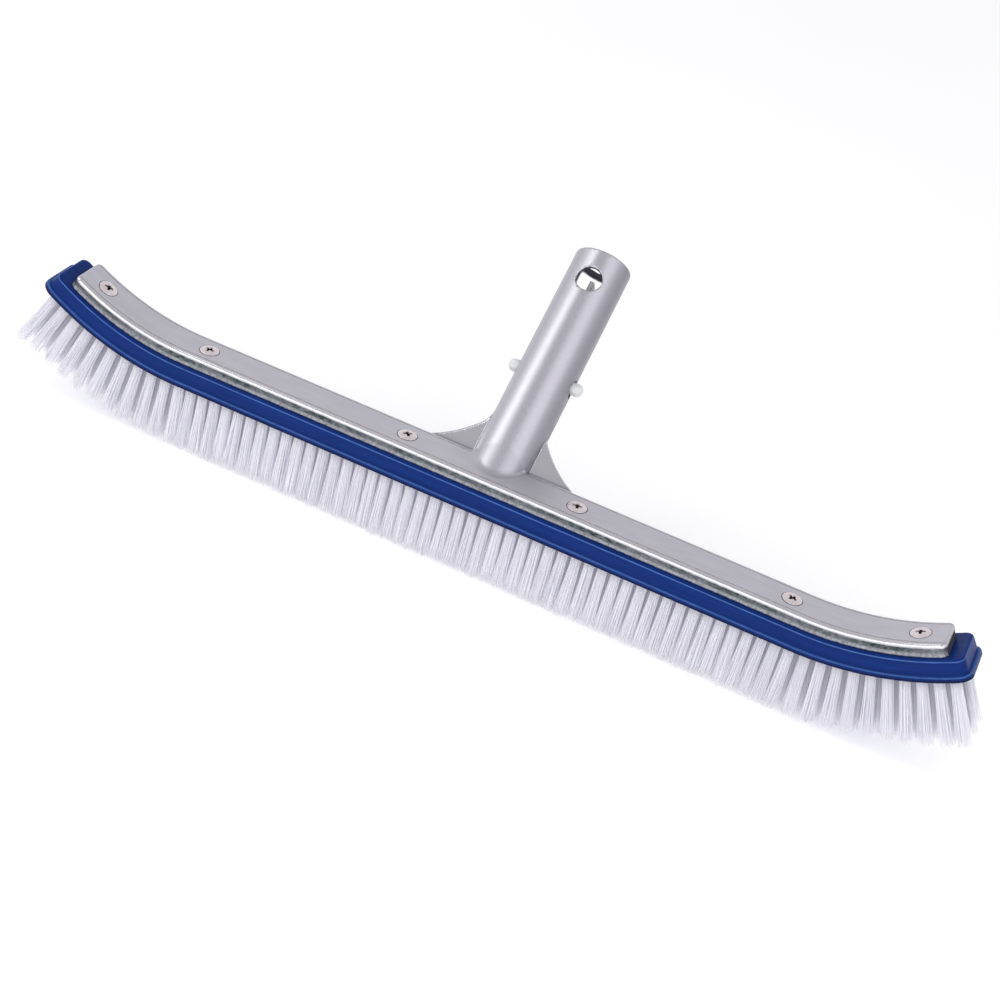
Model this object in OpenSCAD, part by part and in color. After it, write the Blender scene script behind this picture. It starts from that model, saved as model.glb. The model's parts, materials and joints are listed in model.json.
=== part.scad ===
// Curved swimming-pool wall brush with a handle spigot for a telescopic pole.
// Millimetres. Origin: middle of the brushing face, on the bristle tips.
// +X runs along the brush, +Y points to the rear, where the handle leans, and +Z is up.
// Lengths along the brush are measured on the curved top face of the aluminium back.

/* [Overall] */
// Length of the plastic block along its curve, without the lip
brush_len = 450; // [400:1:560]
// Distance from the middle to where each end starts to curve up
bend_start = 155; // [120:1:165]
// Bend radius of the top face of the back
bend_r = 125; // [105:1:180]

/* [Aluminium back] */
// Width of the aluminium back
back_w = 21; // [18:0.5:25.5]
// Overall height of the aluminium back
back_h = 6.4; // [5.8:0.1:8]
// Thickness of the top wall of the back
back_top_wall = 2.4; // [2.3:0.1:3]
// Thickness of the side walls of the back
back_side_wall = 2.2; // [1.8:0.1:3]
// Radius of the two long shoulders of the back
shoulder_r = 1.6; // [0.8:0.1:2.2]
// Radius of the four corners of the back, seen from above
back_corner_r = 3; // [1:0.5:5]
// How far the block reaches past the back at each end
end_step = 7; // [5:0.5:12]

/* [Handle spigot] */
// Outside diameter of the spigot, which fits inside a pole of 1 1/4 inch
spigot_od = 28.6; // [23:0.1:34.5]
// Wall thickness of the spigot
spigot_wall = 2.4; // [2:0.1:3]
// Length of the spigot axis above the top face of the back
spigot_len = 106; // [100:1:130]
// Angle by which the spigot leans back from upright
spigot_lean = 51; // [40:1:55]
// Y of the front of the spigot's foot on the top face of the back
foot_front_y = -2.4; // [-5:0.1:0]
// Axial distance from the top face of the back to the floor of the spigot's bore
bore_floor = 14; // [10:1:20]
// Rounding of the outer edge at the open end
rim_r = 0.9; // [0.3:0.1:1.2]
// Radius of the concave edge of the two webs
web_r = 60; // [40:1:90]
// Axial distance from the top face of the back to where the webs leave the spigot
web_top_s = 12; // [8:0.5:16]
// How far the webs reach to each side along the rear edge of the back
web_reach = 38; // [30:0.5:40]
// How far the front of the webs stands behind the rear edge of the back
web_behind = 5; // [0:0.5:5.5]
// Thickness of the two webs
web_t = 5; // [3:0.5:6]
// Diameter of the round hole near the open end
front_hole_d = 12.2; // [8:0.1:14]
// Distance from the open end to the centre of the round hole
front_hole_in = 16; // [12:0.5:18]
// Width of the window in the rear of the spigot
window_w = 20; // [8:0.5:21]
// Length of the window in the rear of the spigot
window_len = 20; // [10:0.5:22]
// Width of the ring left between the window and the open end
window_ring = 3.5; // [3:0.5:5]

/* [Spring clip] */
// Diameter of the two locking pins
pin_d = 6.35; // [5:0.05:7]
// How far each pin stands out of the spigot
pin_out = 4.8; // [4:0.1:5]
// Axial distance from the top face of the back to the pins
pin_s = 41; // [38:0.5:46]
// Travel of each pin, from out to flush, in degrees at the hinge
pin_travel = 6.4; // [5.5:0.1:6.8]
// Gap between a pin and its hole on the side towards the open end
pin_gap = 0.3; // [0.2:0.05:0.5]
// Thickness of the clip's arms and bow
arm_t = 2; // [1.6:0.1:2.2]
// Width of the clip's arms and bow
arm_w = 9; // [6:0.5:10]
// Distance from the open end to the top of the clip's bow
bow_in = 12.5; // [11:0.5:14]
// Length of the clip's bow
bow_len = 5.8; // [5:0.1:8]

/* [Plastic block] */
// Width of the block
block_w = 26; // [25.5:0.5:31.5]
// Height of the block, from the back down to the bristle face
block_h = 10.2; // [9.8:0.1:14]
// Rounding of the block's upper edges
block_edge_r = 1.5; // [0.5:0.1:2]
// Radius of the block's corners, seen from above
block_corner_r = 4; // [2:0.5:6]
// How far the lip at the foot of the block stands out
lip_out = 1.35; // [0.8:0.05:2]
// Height of the lip
lip_h = 2.4; // [1.8:0.1:3]
// Gap between the tongue on the block and the hollow of the back
tongue_gap = 0.15; // [0.1:0.05:0.4]

/* [Bristles] */
// Free length of the bristles
bristle_len = 34; // [28:1:42]
// Distance between tufts along a row
tuft_pitch = 6.45; // [6.2:0.05:8]
// Distance between two rows
row_gap = 4.9; // [4.8:0.05:5]
// Diameter of the hole that holds a tuft
tuft_hole_d = 4.8; // [4:0.1:4.8]
// Depth to which a tuft sits in its hole
tuft_in = 5.4; // [4.5:0.1:5.6]
// Diameter of a tuft at its cut tip
tuft_tip_d = 5.7; // [5:0.1:5.75]
// Height of the wire staple that holds a tuft down
staple_h = 1.1; // [0.8:0.1:1.2]
// Thickness of the staple wire
staple_t = 0.7; // [0.4:0.1:1]

/* [Screws] */
// Distance from the middle to the inner pair of screws
screw_inner = 42.9; // [40:0.1:50]
// Distance from the start of the bend to the middle pair of screws
screw_before_bend = 7.8; // [6:0.1:20]
// Distance from the end of the back to the outer pair of screws
screw_from_end = 13; // [10:0.5:20]
// Diameter of the screw heads
screw_head_d = 9.2; // [8:0.1:9.2]
// Height of the domed top of the screw heads
screw_dome = 0.9; // [0.4:0.1:1.2]
// Diameter of the screw shanks
screw_d = 3.9; // [3.2:0.1:4.2]
// Depth of the screw tips below the top face of the back
screw_len = 9.4; // [8:0.1:9.8]

/* [Hidden] */
$fn = 64;
eps = 0.01;
clear = 0.05;
cut = 60;

// Heights
top_z = back_h + block_h + bristle_len;

// Back and block
half_block = brush_len / 2;
half_back = half_block - end_step;
half_lip = half_block + lip_out;
hollow_w = back_w - 2 * back_side_wall;
tongue_w = hollow_w - 2 * tongue_gap;
tongue_top = -back_top_wall - tongue_gap;
tongue_half = half_back - back_side_wall - tongue_gap;

// Spigot, in its own frame: x across, -y to the front, z along the axis
spigot_r = spigot_od / 2;
bore_r = spigot_r - spigot_wall;
spigot_y = foot_front_y + spigot_r / cos(spigot_lean);
hole_s = spigot_len - front_hole_in;
web_front = (spigot_y - back_w / 2 - web_behind) * cos(spigot_lean);
web_base_s = (back_w / 2 - spigot_y) * sin(spigot_lean);
web_fade = 8;
web_run = web_reach - spigot_r;
web_rise = web_top_s - web_base_s;
web_slope = atan(web_rise / web_run);
web_centre_in = sqrt(pow(web_r, 2) - (pow(web_run, 2) + pow(web_rise, 2)) / 4);
web_centre_x = (spigot_r + web_reach) / 2 + web_centre_in * sin(web_slope);
web_centre_s = (web_top_s + web_base_s) / 2 + web_centre_in * cos(web_slope);
heel_gap = 0.4;

// Spring clip
pin_r = pin_d / 2;
pin_tip_x = spigot_r + pin_out;
bow_top_s = spigot_len - bow_in;
bow_r = arm_t * 0.6;
knuckle_r = arm_t * 0.7;
hinge_x = knuckle_r + 0.25;
hinge_gap = 0.3;
hinge_s = bow_top_s - bow_len - knuckle_r - hinge_gap;
hinge_drop = hinge_s - pin_s;
arm_wall_gap = 0.5;
arm_past_pin = pin_r + 1;
arm_low_x = sqrt(pow(bore_r, 2) - pow(arm_w / 2, 2)) - arm_wall_gap - arm_t / 2;
arm_angle = atan((arm_low_x - hinge_x) / (hinge_drop + arm_past_pin));
arm_end_x = hinge_x + hinge_drop * tan(arm_angle);
pin_edge_r = 3;
pin_drop = (bore_r + hinge_drop * sin(pin_travel)) * sin(pin_travel)
    - hinge_drop * (1 - cos(pin_travel));
pin_hole_r = pin_r + pin_gap + pin_drop / 2;
pin_hole_s = pin_s - pin_drop / 2;

// Tufts
rows = 5;
tuft_end_margin = 5.2;
tufts_each_side = floor((half_block - tuft_end_margin) / tuft_pitch);
hole_depth = tuft_in + staple_h;
tuft_mouth_d = tuft_hole_d - 2 * clear;
tuft_root_d = tuft_mouth_d - (tuft_tip_d - tuft_mouth_d) * tuft_in / bristle_len;
staple_w = 4.3;

// Screws, from left to right
screw_middle = bend_start - screw_before_bend;
screw_outer = half_back - screw_from_end;
SCREW_S = [-screw_outer, -screw_middle, -screw_inner, screw_inner, screw_middle, screw_outer];
SCREW_TURN = [20, -15, 35, 10, -30, 5];
screw_r = screw_d / 2;
screw_head_r = screw_head_d / 2;
screw_hole_r = screw_r + 0.25;
head_edge = 0.15;
sink_depth = min(screw_head_r - screw_r, back_top_wall - head_edge - 0.1);
recess_len = 5.2;
recess_w = 1.1;
recess_depth = 1.7;

METAL = "silver";
BLUE = "royalblue";
NYLON = "whitesmoke";

// ---------- the curve of the brush ----------

// Angle turned at distance s from the middle
function bend_angle(s) = max(abs(s) - bend_start, 0) / bend_r * 180 / PI;

// Puts its children at distance s along the top face, upright to it
module on_curve(s) {
    turn = bend_angle(s);
    side = s < 0 ? 1 : 0;
    flat = min(abs(s), bend_start);
    translate([0, 0, top_z])
        mirror([side, 0, 0])
            translate([flat + bend_r * sin(turn), 0, bend_r * (1 - cos(turn))])
                rotate([0, -turn, 0])
                    children();
}

// Sweeps a profile (y, height) along the curve, from end to end
module sweep(half_len) {
    translate([0, 0, top_z]) {
        rotate([90, 0, 90])
            linear_extrude(height = 2 * bend_start, center = true)
                children();
        for (side = [0, 1])
            mirror([side, 0, 0])
                translate([bend_start, 0, bend_r])
                    rotate([90, 90, 0])
                        rotate_extrude(angle = bend_angle(half_len), $fn = 360)
                            translate([bend_r, 0])
                                rotate(90)
                                    children();
    }
}

// What is cut off the four corners of a sweep, to round them seen from above
module corner_cuts(half_len, width, radius) {
    for (end = [-half_len, half_len])
        for (side = [0, 1])
            on_curve(end)
                mirror([0, side, 0])
                    translate([clear - radius, width / 2 + clear - radius, -cut / 2])
                        linear_extrude(height = cut)
                            difference() {
                                square(radius + cut / 10);
                                circle(radius);
                            }
}

// A profile with rounded upper edges, hanging down from height top
module shouldered(width, top, height, radius) {
    translate([-width / 2, top - height])
        square([width, height - radius]);
    translate([-width / 2 + radius, top - height])
        square([width - 2 * radius, height]);
    for (side = [-1, 1])
        translate([side * (width / 2 - radius), top - radius])
            circle(radius);
}

// A round-edged bar, the profile of the lip
module lip_profile() {
    width = block_w + 2 * lip_out;
    middle = -back_h - block_h + lip_h / 2;
    edge = 0.9;
    translate([-width / 2 + edge, middle - lip_h / 2])
        square([width - 2 * edge, lip_h]);
    translate([-width / 2, middle - lip_h / 2])
        square([width, lip_h - edge]);
    for (side = [-1, 1])
        translate([side * (width / 2 - edge), middle + lip_h / 2 - edge])
            circle(edge);
}

// ---------- aluminium back with its spigot ----------

// Puts its children in the spigot's frame
module on_spigot() {
    translate([0, spigot_y, top_z])
        rotate([-spigot_lean, 0, 0])
            children();
}

// Spigot with its rounded rim, down to the foot
module spigot_outside() {
    rotate_extrude($fn = 96) {
        translate([0, -2 * spigot_r])
            square([spigot_r, spigot_len + 2 * spigot_r - rim_r]);
        square([spigot_r - rim_r, spigot_len]);
        translate([spigot_r - rim_r, spigot_len - rim_r])
            intersection() {
                circle(rim_r);
                translate([-rim_r, 0])
                    square(2 * rim_r);
            }
    }
}

// The two webs, flat plates with a concave edge from the back up to the spigot
module webs() {
    drop = back_h / cos(spigot_lean) + web_t;
    difference() {
        translate([-web_reach - web_fade, -web_front, web_base_s - drop])
            cube([2 * (web_reach + web_fade), web_t, drop + web_rise + spigot_r / 2]);
        for (side = [-1, 1])
            translate([side * web_centre_x, 0, web_centre_s])
                rotate([90, 0, 0])
                    cylinder(r = web_r, h = cut, center = true, $fn = 180);
    }
}

module spigot_openings() {
    // bore
    translate([0, 0, bore_floor])
        cylinder(r = bore_r, h = spigot_len, $fn = 96);
    // round hole in the front
    translate([0, 0, hole_s])
        rotate([90, 0, 0])
            cylinder(d = front_hole_d, h = cut);
    // window in the rear
    translate([-window_w / 2, 0, spigot_len - window_ring - window_len])
        cube([window_w, cut, window_len]);
    // holes for the locking pins
    translate([0, 0, pin_hole_s])
        rotate([0, 90, 0])
            cylinder(r = pin_hole_r, h = cut, center = true);
}

module back_casting() {
    color(METAL)
    difference() {
        union() {
            difference() {
                sweep(half_back)
                    shouldered(back_w, 0, back_h, shoulder_r);
                corner_cuts(half_back, back_w, back_corner_r);
            }
            intersection() {
                on_spigot() {
                    spigot_outside();
                    webs();
                }
                translate([-cut, -cut, top_z - back_h + heel_gap])
                    cube([2 * cut, 4 * cut, 4 * cut]);
            }
        }
        sweep(half_back - back_side_wall)
            translate([-hollow_w / 2, -back_h - eps])
                square([hollow_w, back_h - back_top_wall + eps]);
        on_spigot()
            spigot_openings();
        for (s = SCREW_S)
            on_curve(s)
                screw_seat();
    }
}

// Countersunk hole for a screw
module screw_seat() {
    translate([0, 0, -back_h])
        cylinder(r = screw_hole_r, h = back_h + 1);
    translate([0, 0, -head_edge - sink_depth])
        cylinder(r1 = screw_hole_r, r2 = screw_head_r + clear, h = sink_depth);
    translate([0, 0, -head_edge])
        cylinder(r = screw_head_r + clear, h = head_edge + 1);
}

// ---------- plastic block ----------

module brush_block() {
    color(BLUE)
    difference() {
        union() {
            difference() {
                sweep(half_block)
                    shouldered(block_w, -back_h, block_h, block_edge_r);
                corner_cuts(half_block, block_w, block_corner_r);
            }
            difference() {
                sweep(half_lip)
                    lip_profile();
                corner_cuts(half_lip, block_w + 2 * lip_out, block_corner_r + lip_out);
            }
            sweep(tongue_half)
                translate([-tongue_w / 2, -back_h - 1])
                    square([tongue_w, back_h + 1 + tongue_top]);
        }
        for (row = [0 : rows - 1])
            at_tufts(row)
                translate([0, 0, -eps])
                    cylinder(d = tuft_hole_d, h = hole_depth + eps, $fn = 24);
        for (s = SCREW_S)
            on_curve(s)
                translate([0, 0, -screw_len])
                    cylinder(r = screw_r + clear, h = screw_len);
    }
}

// ---------- bristles and their staples ----------

// Puts its children at the mouth of every tuft hole of a row, pointing up into the block
module at_tufts(row) {
    shift = row % 2 == 0 ? 0 : 0.5;
    for (i = [-tufts_each_side : tufts_each_side - 2 * shift])
        on_curve((i + shift) * tuft_pitch)
            translate([0, (row - (rows - 1) / 2) * row_gap, -back_h - block_h])
                children();
}

module bristle_row(row) {
    color(NYLON)
        at_tufts(row)
            translate([0, 0, -bristle_len])
                cylinder(d1 = tuft_tip_d, d2 = tuft_root_d, h = bristle_len + tuft_in, $fn = 24);
}

module staple_row(row) {
    color("goldenrod")
        at_tufts(row)
            translate([-staple_t / 2, -staple_w / 2, tuft_in])
                cube([staple_t, staple_w, staple_h]);
}

// ---------- screws ----------

// Raised countersunk screw with a cross recess, its rim level with the top face
module screw(number) {
    dome_r = (pow(screw_head_r, 2) + pow(screw_dome, 2)) / (2 * screw_dome);
    color("lightgray")
        on_curve(SCREW_S[number])
            rotate(SCREW_TURN[number])
                difference() {
                    union() {
                        translate([0, 0, -screw_len])
                            cylinder(r = screw_r, h = screw_len);
                        translate([0, 0, -head_edge - sink_depth])
                            cylinder(r1 = screw_r, r2 = screw_head_r, h = sink_depth);
                        translate([0, 0, -head_edge])
                            cylinder(r = screw_head_r, h = head_edge);
                        intersection() {
                            translate([0, 0, screw_dome - dome_r])
                                sphere(dome_r, $fn = 96);
                            cylinder(r = screw_head_r, h = screw_dome + 1);
                        }
                    }
                    for (turn = [0, 90])
                        rotate(turn)
                            translate([-recess_len / 2, -recess_w / 2, screw_dome - recess_depth])
                                cube([recess_len, recess_w, recess_depth + 1]);
                }
}

// ---------- spring clip ----------

// Fixed top of the clip, which joins the two arms
module clip_bow() {
    color(NYLON)
        on_spigot()
            translate([0, arm_w / 2, 0])
                rotate([90, 0, 0])
                    linear_extrude(height = arm_w) {
                        translate([0, bow_top_s - bow_r])
                            circle(bow_r);
                        translate([-bow_r, bow_top_s - bow_len])
                            square([2 * bow_r, bow_len - bow_r]);
                    }
}

// One arm with its locking pin, side 1 for the right and -1 for the left
module clip_arm(side) {
    arm_len = (hinge_drop + arm_past_pin) / cos(arm_angle);
    color(NYLON)
        on_spigot()
            mirror([side < 0 ? 1 : 0, 0, 0]) {
                translate([hinge_x, 0, hinge_s]) {
                    rotate([90, 0, 0])
                        cylinder(r = knuckle_r, h = arm_w, center = true);
                    rotate([0, -arm_angle, 0])
                        translate([-arm_t / 2, -arm_w / 2, -arm_len])
                            cube([arm_t, arm_w, arm_len]);
                }
                translate([arm_end_x, 0, pin_s])
                    rotate([0, 90, 0])
                        rotate_extrude()
                            pin_profile(pin_tip_x - arm_end_x);
            }
}

// Half section of a pin with a rounded end
module pin_profile(length) {
    square([pin_r, length - pin_edge_r]);
    square([pin_r - pin_edge_r, length]);
    translate([pin_r - pin_edge_r, length - pin_edge_r])
        intersection() {
            circle(pin_edge_r);
            square(pin_edge_r);
        }
}

back_casting();
brush_block();
screw(0);  // screw_1
screw(1);  // screw_2
screw(2);  // screw_3
screw(3);  // screw_4
screw(4);  // screw_5
screw(5);  // screw_6
clip_bow();
clip_arm(-1);  // clip_arm_left
clip_arm(1);  // clip_arm_right
bristle_row(0);  // bristle_row_1
bristle_row(1);  // bristle_row_2
bristle_row(2);  // bristle_row_3
bristle_row(3);  // bristle_row_4
bristle_row(4);  // bristle_row_5
staple_row(0);  // staple_row_1
staple_row(1);  // staple_row_2
staple_row(2);  // staple_row_3
staple_row(3);  // staple_row_4
staple_row(4);  // staple_row_5
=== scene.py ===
"""Looks of the pool wall brush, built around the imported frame. Shapes are worked out in millimetres
and turned into metres when a mesh is made. (s, y, h) are coordinates along the brush, across it and
above the top face of its back; (u, f, a) are across, to the front and along the handle spigot."""
import json
import math

import bpy
import numpy as np
from mathutils import Matrix, Vector


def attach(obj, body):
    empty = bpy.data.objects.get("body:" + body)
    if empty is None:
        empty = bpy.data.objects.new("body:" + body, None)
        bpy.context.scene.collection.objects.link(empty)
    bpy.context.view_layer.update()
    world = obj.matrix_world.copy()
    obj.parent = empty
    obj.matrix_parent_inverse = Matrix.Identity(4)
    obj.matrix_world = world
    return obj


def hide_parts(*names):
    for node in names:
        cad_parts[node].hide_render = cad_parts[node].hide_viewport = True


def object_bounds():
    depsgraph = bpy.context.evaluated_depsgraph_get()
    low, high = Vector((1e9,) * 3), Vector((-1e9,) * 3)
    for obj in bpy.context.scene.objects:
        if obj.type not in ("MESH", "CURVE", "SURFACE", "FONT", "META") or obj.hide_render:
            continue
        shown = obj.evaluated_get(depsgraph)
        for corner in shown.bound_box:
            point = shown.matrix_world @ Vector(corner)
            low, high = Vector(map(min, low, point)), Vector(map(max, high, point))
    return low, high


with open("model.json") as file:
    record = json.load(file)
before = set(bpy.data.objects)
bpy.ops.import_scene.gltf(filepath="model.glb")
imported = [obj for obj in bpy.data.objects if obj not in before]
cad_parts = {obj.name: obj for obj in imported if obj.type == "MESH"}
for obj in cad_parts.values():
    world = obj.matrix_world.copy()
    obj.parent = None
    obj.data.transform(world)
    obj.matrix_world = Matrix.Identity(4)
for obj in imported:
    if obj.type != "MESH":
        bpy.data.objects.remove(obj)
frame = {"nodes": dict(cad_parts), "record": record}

CAD_BOX = [list(corner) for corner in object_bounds()]
MM = 0.001
ROOT = "brush"              # the body that everything but the clip's two arms rides on


# ---------- sizes, from the frame where it gives them ----------

def mount(name):
    """A mount of the record by its name."""
    return next(m for m in frame["record"]["mounts"] if m["name"] == name)


SPIGOT = mount("pole_spigot")
SPIGOT_R = SPIGOT["dims"]["r_mm"] - 0.03      # polished, so a hair inside its nominal size
AXIS = np.array(SPIGOT["axis"])
LEAN = math.atan2(AXIS[1], AXIS[2])
HOLE_R = mount("hang_hole")["dims"]["r_mm"]

TOP_Z = 50.6                # top face of the back
BEND_START, BEND_R = 155.0, 125.0
BACK_HALF, BACK_W, BACK_H, BACK_CORNER = 218.0, 21.0, 6.4, 3.0
SHOULDER_R = 1.6
WAIST, WAIST_H, WAIST_HALF = 0.3, -3.9, 1.9             # hollow along the side walls of the back
RIPPLE = 0.035                                          # unevenness of its front wall
BLOCK_HALF, BLOCK_W, BLOCK_H, BLOCK_CORNER = 225.0, 26.0, 10.2, 4.0
LIP_OUT, LIP_H = 1.35, 2.4
BRISTLE_LEN = 34.0
SPIGOT_LEN, SPIGOT_WALL, BORE_FLOOR = 106.0, 2.4, 14.0
FOOT_FRONT_Y = -2.4
SPIGOT_Y = FOOT_FRONT_Y + SPIGOT_R / math.cos(LEAN)
FOOT_R, FOOT_R_LOSS = 2.4, 1.5      # fillet round its foot, and how much smaller it is on the right
BORE_R = SPIGOT_R - SPIGOT_WALL
HOLE_A = SPIGOT_LEN - 16.0
WINDOW_W, WINDOW_LEN, WINDOW_RING = 20.0, 20.0, 3.5
WEB_R, WEB_T, WEB_TOP, WEB_REACH, WEB_BEHIND = 60.0, 5.0, 12.0, 38.0, 5.0
WEB_FRONT = (SPIGOT_Y - BACK_W / 2 - WEB_BEHIND) * math.cos(LEAN)
WEB_BASE = (BACK_W / 2 - SPIGOT_Y) * math.sin(LEAN)
WEB_RUN, WEB_RISE = WEB_REACH - SPIGOT_R, WEB_TOP - WEB_BASE
WEB_SLOPE = math.atan2(WEB_RISE, WEB_RUN)
WEB_CENTRE_IN = math.sqrt(WEB_R ** 2 - (WEB_RUN ** 2 + WEB_RISE ** 2) / 4)
WEB_CENTRE_U = (SPIGOT_R + WEB_REACH) / 2 + WEB_CENTRE_IN * math.sin(WEB_SLOPE)
WEB_CENTRE_A = (WEB_TOP + WEB_BASE) / 2 + WEB_CENTRE_IN * math.cos(WEB_SLOPE)
PIN_R, PIN_A, PIN_OUT = 3.175, 41.0, 4.8
PIN_HOLE_R, PIN_HOLE_A = 4.21, 40.26
ARM_T, ARM_W = 2.0, 9.0
BOW_TOP, BOW_LEN = SPIGOT_LEN - 12.5, 5.8
KNUCKLE_R = 1.4
HINGE_X, HINGE_A = 1.65, BOW_TOP - BOW_LEN - KNUCKLE_R - 0.3
ARM_PAST_PIN = PIN_R + 1.0
ARM_LOW_X = math.sqrt(BORE_R ** 2 - (ARM_W / 2) ** 2) - 0.5 - ARM_T / 2
ARM_TILT = math.atan2(ARM_LOW_X - HINGE_X, HINGE_A - PIN_A + ARM_PAST_PIN)
ARM_END_X = HINGE_X + (HINGE_A - PIN_A) * math.tan(ARM_TILT)
SCREW_S = [-205.0, -147.2, -42.9, 42.9, 147.2, 205.0]
SCREW_TURN = [20, -15, 35, 10, -30, 5]
SCREW_HEAD_R, SCREW_DOME, SCREW_R, SCREW_LEN = 4.6, 0.9, 1.95, 9.4
LIMIT_X = CAD_BOX[1][0] / MM - 0.05
ROWS, TUFTS_EACH_SIDE, TUFT_PITCH, ROW_GAP = 5, 34, 6.45, 4.9
FILAMENTS, LEVELS, SIDES = 56, 6, 4                     # in a tuft, along and around a filament
FILAMENT_R, TUFT_ROOT_R = 0.225, 2.36
GOLDEN_ANGLE = 2.39996                                  # spreads the filaments evenly over a tuft
WORLD_LOW, WORLD_HIGH = 0.84, 0.6                       # light of the surroundings: low down, overhead
EVERY = slice(None)
WHOLE = [(EVERY, EVERY, EVERY)]


# ---------- coordinates ----------

def bend(p):
    """(s, y, h) to (x, y, z) in millimetres: the ends of the brush curve up."""
    s, y, h = np.moveaxis(np.asarray(p, float), -1, 0)
    turn = np.maximum(np.abs(s) - BEND_START, 0) / BEND_R
    flat = np.minimum(np.abs(s), BEND_START)
    reach = BEND_R - h
    x = np.sign(s) * (flat + reach * np.sin(turn))
    return np.stack([x, y, TOP_Z + BEND_R - reach * np.cos(turn)], -1)


def bend_direction(p, n):
    """Turns directions n given at points p of the (s, y, h) space as bend turns the space there."""
    turn = np.sign(p[:, 0]) * np.maximum(np.abs(p[:, 0]) - BEND_START, 0) / BEND_R
    x = n[:, 0] * np.cos(turn) - n[:, 2] * np.sin(turn)
    z = n[:, 0] * np.sin(turn) + n[:, 2] * np.cos(turn)
    return np.stack([x, n[:, 1], z], -1)


def to_spigot(s, y, h):
    """(s, y, h) to the spigot's (u, f, a)."""
    back = y - SPIGOT_Y
    return s, h * math.sin(LEAN) - back * math.cos(LEAN), back * math.sin(LEAN) + h * math.cos(LEAN)


def from_spigot(p):
    """(u, f, a) to (x, y, z) in millimetres."""
    u, f, a = np.moveaxis(np.asarray(p, float), -1, 0)
    y = SPIGOT_Y - f * math.cos(LEAN) + a * math.sin(LEAN)
    return np.stack([u, y, TOP_Z + f * math.sin(LEAN) + a * math.cos(LEAN)], -1)


# ---------- distance functions, negative inside ----------

def meet(a, b, r):
    """Intersection whose edge is rounded to radius r."""
    return np.minimum(-r, np.maximum(a, b)) + np.hypot(np.maximum(r + a, 0), np.maximum(r + b, 0))


def join(a, b, r):
    """Union whose inside corner is filled to radius r."""
    return np.maximum(r, np.minimum(a, b)) - np.hypot(np.maximum(r - a, 0), np.maximum(r - b, 0))


def cut(a, b, r):
    """a without b, with the edge rounded to radius r."""
    return meet(a, -b, r)


def plate(x, y, half_x, half_y, r):
    """Rectangle with corners of radius r, seen from above."""
    dx, dy = np.abs(x) - half_x + r, np.abs(y) - half_y + r
    outside = np.hypot(np.maximum(dx, 0), np.maximum(dy, 0))
    return outside + np.minimum(np.maximum(dx, dy), 0) - r


def smooth(low, high, x):
    """0 at low and 1 at high, with a soft start and end; low may be the larger of the two."""
    t = np.clip((x - low) / (high - low), 0, 1)
    return t * t * (3 - 2 * t)


def back_bar(s, y, h):
    """The bar of the back: rounded shoulders over side walls that are slightly hollow."""
    waist = WAIST * np.clip(1 - ((h - WAIST_H) / WAIST_HALF) ** 2, 0, 1)
    ripple = RIPPLE * np.sin(0.9 * s + 1.3 * np.sin(0.17 * s)) * smooth(-0.6, -1.6, h)
    side = plate(s, y, BACK_HALF, BACK_W / 2, BACK_CORNER) + waist + ripple * (y < 0)
    body = meet(side, h, SHOULDER_R)
    return meet(body, -BACK_H - h, 0.3)


def web_plate(u, f, a):
    """The two webs beside the foot of the spigot, with a concave edge and a small fillet on the left."""
    outline = WEB_R - np.hypot(np.abs(u) - WEB_CENTRE_U, a - WEB_CENTRE_A)
    outline = join(outline, np.abs(u) - SPIGOT_R + 0.5, 3.2 - 2.9 * smooth(-5, 5, u))
    outline = np.maximum(outline, np.maximum(np.abs(u) - WEB_REACH - 8, a - WEB_TOP - 7))
    front = meet(outline, f - WEB_FRONT, 1.5)
    return meet(front, WEB_FRONT - WEB_T - f, 0.8)


def spigot_outside(u, f, a):
    """The spigot as a solid rod, which runs on below the back."""
    return meet(np.hypot(u, f) - SPIGOT_R, a - SPIGOT_LEN, 0.9)


def screw_seats(s, y, h):
    """Round seats of the six screws, a little wider than their heads."""
    near = np.min([np.abs(s - place) for place in SCREW_S], axis=0)
    across = np.hypot(near, y)
    sink = across - (SCREW_HEAD_R + 0.26) - np.minimum(h + 0.5, 0)
    return np.maximum(np.minimum(sink, across - SCREW_R - 0.1), -BACK_H - 1 - h)


def casting(s, y, h):
    """The whole aluminium casting: bar, webs and spigot, with the holes in them."""
    u, f, a = to_spigot(s, y, h)
    heel = 0.4 - BACK_H - h
    tube = meet(spigot_outside(u, f, a), heel, 1.6)
    foot_r = FOOT_R - FOOT_R_LOSS * smooth(-10, 2, u)
    solid = join(back_bar(s, y, h), tube, foot_r)
    solid = join(solid, meet(web_plate(u, f, a), heel, 0.8), 0.4)
    bore = meet(np.hypot(u, f) - BORE_R, BORE_FLOOR - a, 1.0)
    solid = cut(solid, bore, 0.5)
    front_hole = np.maximum(np.hypot(u, a - HOLE_A) - HOLE_R, -f)
    solid = cut(solid, front_hole, 0.7)
    middle = SPIGOT_LEN - WINDOW_RING - WINDOW_LEN / 2
    window = np.maximum(plate(u, a - middle, WINDOW_W / 2, WINDOW_LEN / 2, 1.2), f)
    solid = cut(solid, window, 0.4)
    solid = cut(solid, np.hypot(f, a - PIN_HOLE_A) - PIN_HOLE_R, 0.3)
    hollow = np.maximum(plate(s, y, BACK_HALF - 2.2, BACK_W / 2 - 2.2, 0.6), h + 2.4)
    solid = np.maximum(solid, -hollow)
    return cut(solid, screw_seats(s, y, h), 0.35)


def cross_recess(x, y, h):
    """Four tapered wings and a pointed middle, as a cross-recess bit leaves them."""
    depth = SCREW_DOME - h
    length, width = 2.35 - 0.7 * depth, 0.62 - 0.12 * depth
    wings = [np.maximum(np.abs(p) - length, np.abs(q) - width) for p, q in ((x, y), (y, x))]
    core = np.hypot(x, y) - (1.3 - 0.4 * depth)
    return np.maximum(np.minimum(np.minimum(*wings), core), depth - 2.0)


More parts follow.
